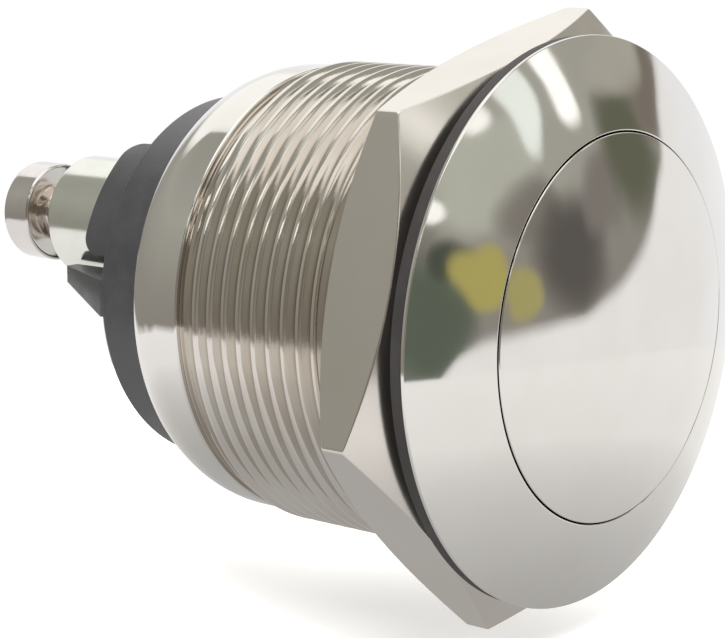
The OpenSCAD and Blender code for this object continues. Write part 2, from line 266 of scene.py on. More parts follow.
class Tree:
    """Small helper that adds and joins nodes in one node tree."""

    def __init__(self, tree):
        self.tree = tree

    def node(self, kind, values=(), **settings):
        made = self.tree.nodes.new(kind)
        for key, value in settings.items():
            setattr(made, key, value)
        for key, value in dict(values).items():
            if isinstance(value, bpy.types.NodeSocket):
                self.tree.links.new(value, made.inputs[key])
            else:
                made.inputs[key].default_value = value
        return made

    def math(self, operation, first, second=0.0, third=0.0):
        values = {0: first, 1: second, 2: third}
        return self.node("ShaderNodeMath", values, operation=operation).outputs[0]

    def ramp(self, value, low, high, at_low=0.0, at_high=1.0):
        """Value mapped straight from low..high to at_low..at_high."""
        return self.node("ShaderNodeMapRange", {0: value, 1: low, 2: high, 3: at_low, 4: at_high}).outputs[0]

    def smooth(self, value, low, high):
        """Value eased from 0 at low to 1 at high."""
        eased = self.node("ShaderNodeMapRange", {0: value, 1: low, 2: high}, interpolation_type="SMOOTHSTEP")
        return eased.outputs[0]

    def mix(self, mask, first, second):
        """Colour that goes from first to second as the mask goes from 0 to 1."""
        return self.node("ShaderNodeMix", {0: mask, 6: first, 7: second}, data_type="RGBA").outputs[2]

    def join(self, output, shader, socket):
        self.tree.links.new(output, shader.inputs[socket])


THREAD_ROOT_END, THREAD_CREST_START = 0.12, 0.86  # shares of a flank that stay flat at the root and on the crest
ROW_NUDGE = 0.001  # keeps the first row of a turn on the right side of the root


def screw_thread_tree():
    """Node tree that winds a 60 degree thread as a sleeve round the Y axis, with both ends led in."""
    tree = bpy.data.node_groups.new("screw_thread", "GeometryNodeTree")
    sizes = ["Major Radius", "Root Radius", "Pitch", "Length", "Start", "Lead Slope"]
    for name in sizes:
        tree.interface.new_socket(name, in_out="INPUT", socket_type="NodeSocketFloat")
    for name in ["Columns", "Rows per Turn", "Turns"]:
        tree.interface.new_socket(name, in_out="INPUT", socket_type="NodeSocketInt")
    tree.interface.new_socket("Material", in_out="INPUT", socket_type="NodeSocketMaterial")
    tree.interface.new_socket("Geometry", in_out="OUTPUT", socket_type="NodeSocketGeometry")
    t = Tree(tree)
    given = t.node("NodeGroupInput").outputs
    columns = t.math("ADD", given["Columns"], 1)
    rows = t.math("ADD", t.math("MULTIPLY", given["Rows per Turn"], given["Turns"]), 1)
    grid = t.node("GeometryNodeMeshGrid", {"Size X": 1.0, "Size Y": 1.0, "Vertices X": columns, "Vertices Y": rows})
    place = t.node("ShaderNodeSeparateXYZ", {0: t.node("GeometryNodeInputPosition").outputs[0]})
    u = t.math("ADD", place.outputs[0], 0.5)
    wound = t.math("MULTIPLY", t.math("ADD", place.outputs[1], 0.5), given["Turns"])
    along = t.math("MULTIPLY", t.math("SUBTRACT", t.math("ADD", wound, u), 1.5), given["Pitch"])
    saw = t.math("FRACT", t.math("ADD", wound, ROW_NUDGE))
    flank = t.math("SUBTRACT", 1.0, t.math("ABSOLUTE", t.math("SUBTRACT", t.math("MULTIPLY", saw, 2.0), 1.0)))
    ramp = t.smooth(flank, THREAD_ROOT_END, THREAD_CREST_START)
    depth = t.math("SUBTRACT", given["Major Radius"], given["Root Radius"])
    crest = t.math("MULTIPLY_ADD", ramp, depth, given["Root Radius"])
    to_end = t.math("MINIMUM", along, t.math("SUBTRACT", given["Length"], along))
    lead = t.math("MULTIPLY_ADD", t.math("MAXIMUM", to_end, 0.0), given["Lead Slope"], given["Root Radius"])
    radius = t.math("MINIMUM", crest, lead)
    turn = t.math("MULTIPLY", u, TAU)
    x = t.math("MULTIPLY", radius, t.math("SINE", turn))
    z = t.math("MULTIPLY", radius, t.math("COSINE", turn))
    point = t.node("ShaderNodeCombineXYZ", {0: x, 1: t.math("ADD", along, given["Start"]), 2: z}).outputs[0]
    bent = t.node("GeometryNodeSetPosition", {"Geometry": grid.outputs["Mesh"], "Position": point}).outputs[0]
    closed = t.node("GeometryNodeMergeByDistance", {"Geometry": bent, "Distance": 1e-7}).outputs[0]
    real = t.node("GeometryNodeRealizeInstances", {"Geometry": closed}).outputs[0]
    named = t.node("GeometryNodeSetMaterial", {"Geometry": real, "Material": given["Material"]}).outputs[0]
    t.node("NodeGroupOutput", {"Geometry": named})
    return tree


def node_mesh(tree, values):
    """Plain mesh that a Geometry Nodes tree makes from named inputs."""
    holder = bpy.data.objects.new("holder", bpy.data.meshes.new("holder"))
    bpy.context.collection.objects.link(holder)
    modifier = holder.modifiers.new("shape", "NODES")
    modifier.node_group = tree
    for item in tree.interface.items_tree:
        if item.item_type == "SOCKET" and item.in_out == "INPUT" and item.name in values:
            modifier[item.identifier] = values[item.name]
    mesh = evaluated(holder)
    bpy.data.objects.remove(holder)
    return mesh


def add_thread(bm, major, root, pitch, front, back, columns, material):
    """Adds the thread between two stations to bm, cut square, and returns its front and back rings."""
    length = front - back
    mesh = node_mesh(thread_tree, {
        "Major Radius": major * MM, "Root Radius": root * MM, "Pitch": pitch * MM, "Length": length * MM,
        "Start": -front * MM, "Lead Slope": 1.0, "Columns": columns, "Rows per Turn": ROWS_PER_TURN,
        "Turns": math.ceil(length / pitch) + 2, "Material": material})
    bm.from_mesh(mesh)
    bpy.data.meshes.remove(mesh)
    rings = []
    for station, outward in ((front, -1), (back, 1)):
        cut = bmesh.ops.bisect_plane(
            bm, geom=bm.verts[:] + bm.edges[:] + bm.faces[:], dist=1e-8, plane_co=(0, -station * MM, 0),
            plane_no=(0, outward, 0), clear_outer=True)
        ring = [v for v in cut["geom_cut"] if isinstance(v, bmesh.types.BMVert)]
        for v in ring:
            flat = math.hypot(v.co.x, v.co.z)
            v.co = (v.co.x * root * MM / flat, -station * MM, v.co.z * root * MM / flat)
        rings.append(ring)
    return rings


# ---------------------------------------------------------------- shader groups

def shader_group(name, inputs, outputs):
    """Empty shader node group with named float or colour sockets."""
    tree = bpy.data.node_groups.new(name, "ShaderNodeTree")
    for socket, kind, value in inputs:
        made = tree.interface.new_socket(socket, in_out="INPUT", socket_type=kind)
        made.default_value = value
    for socket, kind in outputs:
        tree.interface.new_socket(socket, in_out="OUTPUT", socket_type=kind)
    t = Tree(tree)
    return t, t.node("NodeGroupInput").outputs


FLOAT, COLOUR = "NodeSocketFloat", "NodeSocketColor"


def object_place(t):
    return t.node("ShaderNodeTexCoord").outputs["Object"]


def off_axis(t, axes):
    """Distance from the Y axis."""
    return t.math("SQRT", t.math("ADD", t.math("MULTIPLY", axes[0], axes[0]), t.math("MULTIPLY", axes[2], axes[2])))


def plating_group():
    """Clouding of a plated surface: a slow change of tone and gloss with faint specks."""
    t, given = shader_group(
        "plating", [("Scale", FLOAT, 300), ("Tone", COLOUR, (1, 1, 1, 1)), ("Tint", COLOUR, (1, 1, 1, 1)),
                    ("Low", FLOAT, 0.1), ("High", FLOAT, 0.2)],
        [("Colour", COLOUR), ("Roughness", FLOAT), ("Height", FLOAT)])
    place = object_place(t)
    slow = t.node("ShaderNodeTexNoise", {"Vector": place, "Scale": given["Scale"], "Detail": 3.0, "Roughness": 0.55})
    fast = t.math("MULTIPLY", given["Scale"], 9.0)
    fine = t.node("ShaderNodeTexNoise", {"Vector": place, "Scale": fast, "Detail": 4.0, "Roughness": 0.7})
    mask = t.smooth(slow.outputs[0], 0.35, 0.68)
    speck = t.ramp(fine.outputs[0], 0.55, 0.8)
    span = t.math("SUBTRACT", given["High"], given["Low"])
    blend = t.math("MULTIPLY_ADD", speck, 0.35, t.math("MULTIPLY", mask, 0.65))
    t.node("NodeGroupOutput", {
        "Colour": t.mix(mask, given["Tone"], given["Tint"]),
        "Roughness": t.math("MULTIPLY_ADD", blend, span, given["Low"]),
        "Height": fine.outputs[0]})
    return t.tree


def turning_group():
    """Fine tool marks left by turning, as rings round the Y axis."""
    t, given = shader_group(
        "turning_marks", [("Spacing", FLOAT, 0.0001), ("Waver", FLOAT, 0.3)], [("Height", FLOAT)])
    place = object_place(t)
    axes = t.node("ShaderNodeSeparateXYZ", {0: place}).outputs
    walk = t.math("DIVIDE", t.math("ADD", off_axis(t, axes), axes[1]), given["Spacing"])
    noise = t.node("ShaderNodeTexNoise", {"W": walk, "Scale": 1.0, "Detail": 3.0}, noise_dimensions="1D")
    cloud = t.node("ShaderNodeTexNoise", {"Vector": place, "Scale": 260.0, "Detail": 2.0})
    fade = t.math("MULTIPLY_ADD", cloud.outputs[0], given["Waver"], 1.0)
    t.node("NodeGroupOutput", {"Height": t.math("MULTIPLY", noise.outputs[0], fade)})
    return t.tree


def groove_group():
    """Mask that is 0 in the roots of a thread wound round the Y axis and 1 on its crests."""
    t, given = shader_group("thread_groove", [("Root", FLOAT, 0.009), ("Crest", FLOAT, 0.0095)], [("Mask", FLOAT)])
    axes = t.node("ShaderNodeSeparateXYZ", {0: object_place(t)}).outputs
    t.node("NodeGroupOutput", {"Mask": t.smooth(off_axis(t, axes), given["Root"], given["Crest"])})
    return t.tree


def moulding_group():
    """Grain and scuffs of a moulded or rubber surface."""
    t, given = shader_group(
        "moulded_grain", [("Grain", FLOAT, 9000), ("Dark", COLOUR, (0, 0, 0, 1)), ("Pale", COLOUR, (0, 0, 0, 1)),
                          ("Low", FLOAT, 0.4), ("High", FLOAT, 0.6)],
        [("Colour", COLOUR), ("Roughness", FLOAT), ("Height", FLOAT)])
    place = object_place(t)
    grain = t.node("ShaderNodeTexNoise", {"Vector": place, "Scale": given["Grain"], "Detail": 3.0, "Roughness": 0.6})
    scuff = t.node("ShaderNodeTexNoise", {"Vector": place, "Scale": 420.0, "Detail": 6.0, "Roughness": 0.65})
    mask = t.ramp(scuff.outputs[0], 0.42, 0.72)
    span = t.math("SUBTRACT", given["High"], given["Low"])
    t.node("NodeGroupOutput", {
        "Colour": t.mix(mask, given["Dark"], given["Pale"]),
        "Roughness": t.math("MULTIPLY_ADD", mask, span, given["Low"]),
        "Height": grain.outputs[0]})
    return t.tree


# ---------------------------------------------------------------- materials

def new_material(name, metallic):
    """Material with a Principled BSDF, its tree helper and the shader node."""
    material = bpy.data.materials.new(name)
    material.use_nodes = True
    t = Tree(material.node_tree)
    shader = material.node_tree.nodes["Principled BSDF"]
    shader.inputs["Metallic"].default_value = metallic
    return material, t, shader


def dressed(t, shader, skin, height, depth):
    """Joins a skin group's colour and gloss and a bump of the given depth to the shader."""
    t.join(skin.outputs["Colour"], shader, "Base Color")
    t.join(skin.outputs["Roughness"], shader, "Roughness")
    bump = t.node("ShaderNodeBump", {"Height": height, "Strength": 1.0, "Distance": depth})
    t.join(bump.outputs[0], shader, "Normal")


MARK_SPACING = 0.0001  # metres between tool marks


def metal(name, tone, tint, low, high, scale=300.0, marks=0.0, bump=2e-6):
    """Plated or bare metal: clouded tone and gloss, with tool marks where the piece was turned."""
    material, t, shader = new_material(name, 1.0)
    plate = t.node("ShaderNodeGroup", {
        "Scale": scale, "Tone": (*tone, 1), "Tint": (*tint, 1), "Low": low, "High": high}, node_tree=plating)
    height = plate.outputs["Height"]
    if marks:
        turned = t.node("ShaderNodeGroup", {"Spacing": MARK_SPACING}, node_tree=turning)
        height = t.math("MULTIPLY_ADD", turned.outputs["Height"], marks, height)
    dressed(t, shader, plate, height, bump)
    return material


def paint_groove_shade(material, root, crest, groove_shade_colour):
    """Paints shade into the roots of a turned thread, a darker and browner tone in its grooves."""
    t = Tree(material.node_tree)
    shader = material.node_tree.nodes["Principled BSDF"]
    groove = t.node("ShaderNodeGroup", {"Root": root * MM, "Crest": crest * MM}, node_tree=grooves)
    unshaded = shader.inputs["Base Color"].links[0].from_socket
    t.join(t.mix(groove.outputs["Mask"], (*groove_shade_colour, 1), unshaded), shader, "Base Color")
    return material


def moulded(name, dark, pale, low, high, grain=9000.0, bump=8e-6, specular=0.5):
    """Moulded plastic or rubber with a fine grain."""
    material, t, shader = new_material(name, 0.0)
    shader.inputs["Specular IOR Level"].default_value = specular
    skin = t.node("ShaderNodeGroup", {
        "Grain": grain, "Dark": (*dark, 1), "Pale": (*pale, 1), "Low": low, "High": high}, node_tree=moulding)
    dressed(t, shader, skin, skin.outputs["Height"], bump)
    return material


thread_tree = screw_thread_tree()
plating, turning, grooves, moulding = plating_group(), turning_group(), groove_group(), moulding_group()

polished_plate = metal("polished_plate", (0.80, 0.785, 0.76), (0.78, 0.76, 0.73), 0.05, 0.095, marks=0.1, bump=4e-7)
# Thread plate painted darker than the polished plate as the thread's shade, with painted shade darker and browner
# still in its roots
threaded_plate = paint_groove_shade(
    metal("threaded_plate", (0.74, 0.71, 0.67), (0.70, 0.66, 0.61), 0.07, 0.16), 9.05, 9.22, (0.54, 0.49, 0.43))
satin_plate = metal(
    "satin_plate", (0.77, 0.73, 0.69), (0.74, 0.70, 0.65), 0.17, 0.25, scale=160.0, marks=0.3, bump=8e-7)
terminal_plate = metal("terminal_plate", (0.80, 0.812, 0.765), (0.76, 0.768, 0.722), 0.13, 0.2, scale=600.0)
screw_plate = metal("screw_plate", (0.76, 0.73, 0.72), (0.72, 0.69, 0.68), 0.08, 0.15, scale=700.0)
# Screw thread plate painted darker and browner than the screw plate: painted shade of the thread
shaded_screw_thread_plate = metal("shaded_screw_thread_plate", (0.74, 0.68, 0.61), (0.66, 0.59, 0.52), 0.1, 0.2, scale=900.0)
spring_wire = metal("spring_wire", (0.56, 0.56, 0.57), (0.5, 0.5, 0.51), 0.2, 0.32, scale=900.0)
rolled_brass = metal("rolled_brass", (0.78, 0.58, 0.3), (0.7, 0.5, 0.24), 0.22, 0.34, scale=700.0)
fine_silver = metal("fine_silver", (0.86, 0.85, 0.83), (0.8, 0.79, 0.76), 0.16, 0.28, scale=900.0)
natural_nylon = moulded("natural_nylon", (0.80, 0.78, 0.73), (0.84, 0.83, 0.79), 0.35, 0.5, grain=5000.0, bump=4e-6)
black_moulding = moulded("black_moulding", (0.036, 0.036, 0.039), (0.055, 0.055, 0.058), 0.34, 0.5, specular=0.6)
seal_rubber = moulded("seal_rubber", (0.034, 0.031, 0.03), (0.052, 0.047, 0.045), 0.6, 0.75, grain=12000.0)


# ---------------------------------------------------------------- turned pieces

def body_piece():
    """Flange, threaded barrel and web in one shell, with the thread wound by nodes."""
    bm = bmesh.new()
    front_ring, back_ring = add_thread(
        bm, THREAD_R, THREAD_ROOT_R, THREAD_PITCH, THREAD_FRONT, THREAD_BACK, COLUMNS, threaded_plate)
    bullet_l = PILOT_BACK - BARREL_END
    bullet_r = (bullet_l**2 + BULLET_DROP**2) / (2 * BULLET_DROP)
    sweep = math.degrees(math.asin(bullet_l / bullet_r))
    corners = [
        (THREAD_ROOT_R, THREAD_BACK - 0.02, 0),
        (THREAD_ROOT_R, PILOT_FRONT, 0.06),
        (PILOT_R, PILOT_FRONT, 0.09),
        (PILOT_R, (PILOT_FRONT + PILOT_BACK) / 2, 0),
        *arc_rows(PILOT_R - bullet_r, PILOT_BACK, bullet_r, 0, -sweep * 0.94, 16),
        (PILOT_R - BULLET_DROP, BARREL_END, 0.12),
        (CAVITY_R, BARREL_END, 0.08),
        (CAVITY_R, WEB_BACK, 0.1),
        (STEM_R + GAP, WEB_BACK, 0.1),
        (STEM_R + GAP, CAP_FLOOR, 0.1),
        (CAP_BORE_R, CAP_FLOOR, 0.1),
        (CAP_BORE_R, dome(CAP_BORE_R), 0.05),
        *dome_rows(CAP_BORE_R + 0.14, HEAD_R - 0.3, 30),
        (HEAD_R, dome(HEAD_R), 0.05),
        (HEAD_R, 0, 0.05),
        (THREAD_ROOT_R, 0, 0.08),
        (THREAD_ROOT_R, THREAD_FRONT + 0.02, 0),
    ]
    rows = revolve(bm, rounded(corners, False), COLUMNS, False)
    stitch(bm, back_ring, rows[0])
    stitch(bm, front_ring, rows[-1])
    return finished(bm, "barrel_and_flange", polished_plate)


def paint_thread(piece):
    """Gives the wound faces between the thread's ends their own material, painted darker than the polished plate as
    the thread's shade.
    """
    piece.data.materials.append(threaded_plate)
    low, high = -THREAD_FRONT * MM, -PILOT_FRONT * MM
    for face in piece.data.polygons:
        centre = face.center
        outside = math.hypot(centre.x, centre.z) > (THREAD_ROOT_R - 0.1) * MM
        face.material_index = int(low <= centre.y <= high and outside)


def button_piece():
    """Domed button with its skirt, seal groove and stem."""
    groove = -CAP_SKIRT + 0.6
    crown_back = APEX - CROWN
    corners = [
        (0, APEX, 0),
        *dome_rows(0.15, CAP_R - 0.2, 44),
        (CAP_R, dome(CAP_R), 0.05),
        (CAP_R, groove + SEAL_GROOVE + 0.1, 0.05),
        (CAP_R - SEAL_GROOVE, groove + SEAL_GROOVE + 0.1, 0.05),
        (CAP_R - SEAL_GROOVE, groove, 0.05),
        (CAP_R, groove, 0.05),
        (CAP_R, -CAP_SKIRT, 0.1),
        (CAP_R - SKIRT_WALL, -CAP_SKIRT, 0.1),
        (CAP_R - SKIRT_WALL, crown_back, 0.2),
        (STEM_R, crown_back, 0.2),
        (STEM_R, CLIP_FRONT, 0.05),
        (CLIP_GROOVE_R, CLIP_FRONT, 0.03),
        (CLIP_GROOVE_R, CLIP_BACK, 0.03),
        (STEM_R, CLIP_BACK, 0.05),
        (STEM_R, STEM_END, 0.1),
        (STEM_TIP_R, STEM_END, 0.05),
        (STEM_TIP_R, STEM_TIP_END, 0.1),
        (0, STEM_TIP_END, 0),
    ]
    bm = bmesh.new()
    revolve(bm, rounded(corners, False), COLUMNS, False)
    return finished(bm, "domed_button", polished_plate)


def panel_seal_piece():
    """Flat rubber seal under the flange."""
    inner = THREAD_R + GAP
    corners = [(inner, 0, 0.05), (SEAL_R, 0, 0.12), (SEAL_R, -SEAL_T, 0.12), (inner, -SEAL_T, 0.05)]
    bm = bmesh.new()
    revolve(bm, rounded(corners, True), COLUMNS, True)
    return finished(bm, "flat_panel_seal", seal_rubber)


def terminal_place(n):
    """Place of terminal n on the back of the base, in metres."""
    a = math.radians(TERMINAL_ANGLE + 180 * n)
    return spot(TERMINAL_R, a, 0)


def post_piece(n):
    """Turned terminal post with its bore and shank."""
    bore = SCREW_R + GAP
    corners = [
        (0, FLOOR_FRONT, 0),
        (SHANK_R, FLOOR_FRONT, 0.05),
        (SHANK_R, BASE_BACK, 0.05),
        (POST_R, BASE_BACK, 0.12),
        (POST_R, POST_BACK, 0.16),
        (bore + POST_MOUTH, POST_BACK, 0.04),
        (bore, POST_BACK + POST_MOUTH, 0.04),
        (bore, POST_BACK + POST_BORE, 0.1),
        (0, POST_BACK + POST_BORE, 0),
    ]
    bm = bmesh.new()
    revolve(bm, rounded(corners, False), POST_COLUMNS, False)
    return finished(bm, "turned_post_" + "ab"[n], terminal_plate, move=terminal_place(n))


def screw_piece(n):
    """Slotted screw with its thread wound by nodes and its driver slot cut."""
    bm = bmesh.new()
    tip = HEAD_FRONT + SCREW_L
    front_ring, back_ring = add_thread(
        bm, SCREW_R, SCREW_ROOT_R, SCREW_PITCH, tip - 0.1, HEAD_FRONT + 0.12, SCREW_COLUMNS, screw_plate)
    rows = revolve(bm, rounded([
        (0, tip, 0),
        (SCREW_ROOT_R - 0.1, tip, 0.05),
        (SCREW_ROOT_R, tip - 0.08, 0)], False), SCREW_COLUMNS, False)
    stitch(bm, front_ring, rows[-1])
    rows = revolve(bm, rounded([
        (SCREW_ROOT_R, HEAD_FRONT + 0.1, 0),
        (SCREW_ROOT_R, HEAD_FRONT, 0.08),
        (SCREW_HEAD_R, HEAD_FRONT, 0.14),
        (SCREW_HEAD_R, HEAD_BACK, 0.2),
        (0, HEAD_BACK, 0)], False), SCREW_COLUMNS, False)
    stitch(bm, back_ring, rows[0])
    piece = finished(bm, "slotted_screw_" + "ab"[n], screw_plate, move=terminal_place(n))
    cut_slot(piece, n)
    # The thread's faces take the darker screw thread plate, which is painted shade
    piece.data.materials.append(shaded_screw_thread_plate)
    for face in piece.data.polygons:
        away = (face.center - terminal_place(n)) * (1 / MM)
        along = -tip < away.y < -HEAD_FRONT - 0.05
        face.material_index = int(along and math.hypot(away.x, away.z) > SCREW_ROOT_R - 0.1)
    return piece


def cut_slot(piece, n):
    """Cuts the driver slot across a screw head."""
    bm = bmesh.new()
    bmesh.ops.create_cube(bm, size=1)
    deep = 2 * DRIVER_DEPTH
    bmesh.ops.scale(bm, vec=Vector((3 * SCREW_HEAD_R, deep, DRIVER_W)) * MM, verts=bm.verts)
    turn = Matrix.Rotation(-math.radians(SLOT_ANGLE), 4, "Y")
    bmesh.ops.transform(bm, matrix=turn, verts=bm.verts)
    place = terminal_place(n)
    place.y = -HEAD_BACK * MM
    cutter = finished(bm, "slot_cutter", screw_plate, move=place)
    cut = piece.modifiers.new("slot", "BOOLEAN")
    cut.object = cutter
    cut.operation = "DIFFERENCE"
    cut.solver = "EXACT"
    piece.data = evaluated(piece)
    piece.data.set_sharp_from_angle(angle=math.radians(SHARP))
    bpy.data.objects.remove(cutter)


# ---------------------------------------------------------------- hexagon nut

def hexagon_outline(flats, turn, radius):
    """Angles and radii round a hexagon with rounded corners, close together near the corners."""
    reach = (flats / 2 - radius) / math.cos(math.radians(30))

    def pointing(degrees, length):
        a = math.radians(degrees)
        return length * Vector((math.cos(a), math.sin(a)))

    points = []
    for corner in range(6):
        here, ahead = turn + 60 * corner, turn + 60 * (corner + 1)
        for bend in range(-30, 31, CORNER_STEP):
            points.append(pointing(here, reach) + pointing(here + bend, radius))
        start, stop = points[-1], pointing(ahead, reach) + pointing(ahead - 30, radius)
        points += [start.lerp(stop, share) for share in FLAT_SHARES]
    return [(math.atan2(p.y, p.x), p.length) for p in points]


def nut_piece():
    """Hexagon nut with its corners chamfered on both faces and its edges softened."""
    back = NUT_FRONT - NUT_T
    slope = math.tan(math.radians(NUT_CHAMFER))
    columns = []
    for angle, reach in hexagon_outline(NUT_FLATS, NUT_TURN, NUT_CORNER):
        drop = (reach - NUT_FACE_R) * slope
        path = rounded([
            (NUT_BORE_R + NUT_MOUTH, NUT_FRONT, 0.04),
            (NUT_FACE_R, NUT_FRONT, NUT_EDGE),
            (reach, NUT_FRONT - drop, NUT_EDGE),
            (reach, back + drop, NUT_EDGE),
            (NUT_FACE_R, back, NUT_EDGE),
            (NUT_BORE_R + NUT_MOUTH, back, 0.04),
            (NUT_BORE_R, back + NUT_MOUTH, 0.04),
            (NUT_BORE_R, NUT_FRONT - NUT_MOUTH, 0.04)], True)
        columns.append([spot(r, angle, s) for r, s in path])
    bm = bmesh.new()
    grid = [[bm.verts.new(p) for p in column] for column in columns]
    for here, ahead in zip(grid, grid[1:] + grid[:1]):
        for i in range(len(here)):
            k = (i + 1) % len(here)
            bm.faces.new((here[i], ahead[i], ahead[k], here[k]))
    return finished(bm, "hexagon_nut", satin_plate)


# ---------------------------------------------------------------- moulded base

def softened(node, name, material, width):
    """Copy of a CAD node with its edges rounded by a small bevel."""
    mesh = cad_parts[node].data.copy()
    mesh.materials.clear()
    piece = bpy.data.objects.new(name, mesh)
    bpy.context.collection.objects.link(piece)
    bm = bmesh.new()
    bm.from_mesh(mesh)
    bmesh.ops.remove_doubles(bm, verts=bm.verts, dist=2e-6)
    bmesh.ops.dissolve_limit(bm, angle_limit=math.radians(1), verts=bm.verts, edges=bm.edges)
    bm.to_mesh(mesh)
    bm.free()
    bevel = piece.modifiers.new("edges", "BEVEL")
    bevel.width = width * MM
    bevel.segments = 3
    bevel.limit_method = "ANGLE"
    bevel.angle_limit = math.radians(BASE_EDGE_ANGLE)
    bevel.harden_normals = False
    piece.data = evaluated(piece)
    piece.data.shade_smooth()
    piece.data.set_sharp_from_angle(angle=math.radians(SHARP))
    piece.data.materials.clear()
    piece.data.materials.append(material)
    return piece


# ---------------------------------------------------------------- springs

def spring_piece(node, name):
    """Coil of a CAD spring as one closed skin."""
    bm = bmesh.new()
    bm.from_mesh(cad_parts[node].data)
    bmesh.ops.remove_doubles(bm, verts=bm.verts, dist=1e-6)
    return finished(bm, name, spring_wire)


# ---------------------------------------------------------------- the object

def place(piece, body, node, slot):
    """Lets a piece stand for a CAD node on its body; the slot is not used."""
    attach(piece, body)
    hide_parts(node)


barrel = body_piece()
paint_thread(barrel)
place(barrel, "housing", "body", "plated_metal")
place(button_piece(), "button", "button_cap", "plated_metal")
place(panel_seal_piece(), "housing", "panel_seal", "seal_rubber")
place(nut_piece(), "nut", "mounting_nut", "nut_metal")
place(softened("base", "rear_moulding", black_moulding, BASE_EDGE), "housing", "base", "black_moulding")
for n, letter in enumerate("ab"):
    place(post_piece(n), "housing", "terminal_post_" + letter, "terminal_metal")
    place(screw_piece(n), "screw_" + letter, "terminal_screw_" + letter, "screw_metal")

# Springs: node, piece, body, y of the fixed end and loss of length at the end of the press
SPRINGS = [
    ("return_spring", "return_coil", "housing", 3.1, 2.0),
    ("contact_spring", "contact_coil", "button", 7.7, 0.6),
]
for node, name, body, fixed_end, loss in SPRINGS:
    coil = spring_piece(node, name)
    place(coil, body, node, "spring_steel")
    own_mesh(coil)

# CAD nodes that show as they are, with their material
INNER = {
    "cap_seal": seal_rubber, "retaining_clip": spring_wire, "plunger": natural_nylon, "contact_bridge": rolled_brass,
    "bridge_tips": fine_silver, "guide_sleeve": natural_nylon, "base_seal": seal_rubber,
    "fixed_contact_a": fine_silver, "fixed_contact_b": fine_silver,
}
for node, material in INNER.items():
    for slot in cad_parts[node].material_slots:
        slot.material = material


# ---------------------------------------------------------------- studio

# Floor, in metres
FLOOR_RADIUS = 0.055
FLOOR_CENTRE = (0, 0.005, -0.0125)
# Its own light in reflections, painted darker beside the object as its shadow and brighter far from it, and the rise
# towards its rim
SHADE_CENTRE = (-0.002, 0.009, -0.0125)
SHADE_NEAR, SHADE_FAR = 0.010, 0.029
FLOOR_NEAR, FLOOR_FAR = 0.48, 0.93
RIM_NEAR, RIM_FAR, RIM_GAIN = 0.027, 0.052, 1.06
# Its own light where the camera sees it, which makes it white
FLOOR_SEEN = 0.5


def floor():
    """Round pale floor just under the object; it shows white and keeps a soft shadow, and in reflections it glows
    with a painted shadow round the object.
    """
    bm = bmesh.new()
    bmesh.ops.create_circle(bm, cap_ends=True, segments=128, radius=FLOOR_RADIUS)
    bmesh.ops.translate(bm, vec=FLOOR_CENTRE, verts=bm.verts)
    material = bpy.data.materials.new("pale_floor")
    material.use_nodes = True
    t = Tree(material.node_tree)
    t.tree.nodes.clear()
    path = t.node("ShaderNodeLightPath").outputs
    seen = t.math("MAXIMUM", path["Is Camera Ray"], path["Is Transmission Ray"])
    apart = t.node("ShaderNodeVectorMath", {0: object_place(t), 1: SHADE_CENTRE}, operation="DISTANCE")
    reach = apart.outputs["Value"]
    # Painted shadow in reflections: the floor glows darker near the object and brighter towards its rim
    painted_floor_shadow = t.ramp(reach, SHADE_NEAR, SHADE_FAR, FLOOR_NEAR, FLOOR_FAR)
    distant = t.ramp(reach, RIM_NEAR, RIM_FAR, 1.0, RIM_GAIN)
    mirrored = t.math("MULTIPLY", path["Is Glossy Ray"], t.math("MULTIPLY", painted_floor_shadow, distant))
    paint = t.node("ShaderNodeBsdfDiffuse", {"Color": (0.80, 0.79, 0.77, 1)})
    strength = t.math("MULTIPLY_ADD", seen, FLOOR_SEEN, mirrored)
    glow = t.node("ShaderNodeEmission", {"Color": (1, 0.985, 0.965, 1), "Strength": strength})
    both = t.node("ShaderNodeAddShader", {0: paint.outputs[0], 1: glow.outputs[0]})
    plain = t.node("ShaderNodeMixShader", {0: path["Is Glossy Ray"], 1: both.outputs[0], 2: glow.outputs[0]})
    t.node("ShaderNodeOutputMaterial", {"Surface": plain.outputs[0]})
    made = finished(bm, "floor", material)


def softbox(name, place, aim, size, power):
    """Square area lamp that lights the object but isn't seen in its metal."""
    lamp = bpy.data.lights.new(name, "AREA")
    lamp.shape = "RECTANGLE"
    lamp.size, lamp.size_y = size, size
    lamp.energy = power
    made = bpy.data.objects.new(name, lamp)
    made.location = place
    made.rotation_mode = "QUATERNION"
    made.rotation_quaternion = (Vector(aim) - Vector(place)).to_track_quat("-Z", "Y")
    made.visible_glossy = False
    bpy.context.collection.objects.link(made)


OVAL = 2.6  # 2 makes a patch an ellipse, and more makes it squarer


def patch_group():
    """Mask of a soft oval in a room seen by azimuth and elevation, in degrees."""
    t, given = shader_group(
        "room_patch", [("Azimuth", FLOAT, 0), ("Elevation", FLOAT, 0), ("Across", FLOAT, 0), ("Up", FLOAT, 0),
                       ("Half Width", FLOAT, 5), ("Half Height", FLOAT, 5), ("Edge", FLOAT, 0.3)], [("Mask", FLOAT)])
    across = t.math("DIVIDE", t.math("SUBTRACT", given["Azimuth"], given["Across"]), given["Half Width"])
    up = t.math("DIVIDE", t.math("SUBTRACT", given["Elevation"], given["Up"]), given["Half Height"])
    far = t.math(
        "ADD", t.math("POWER", t.math("ABSOLUTE", across), OVAL), t.math("POWER", t.math("ABSOLUTE", up), OVAL))
    inner = t.math("SUBTRACT", 1.0, given["Edge"])
    outer = t.math("ADD", 1.0, given["Edge"])
    t.node("NodeGroupOutput", {"Mask": t.smooth(far, outer, inner)})
    return t.tree


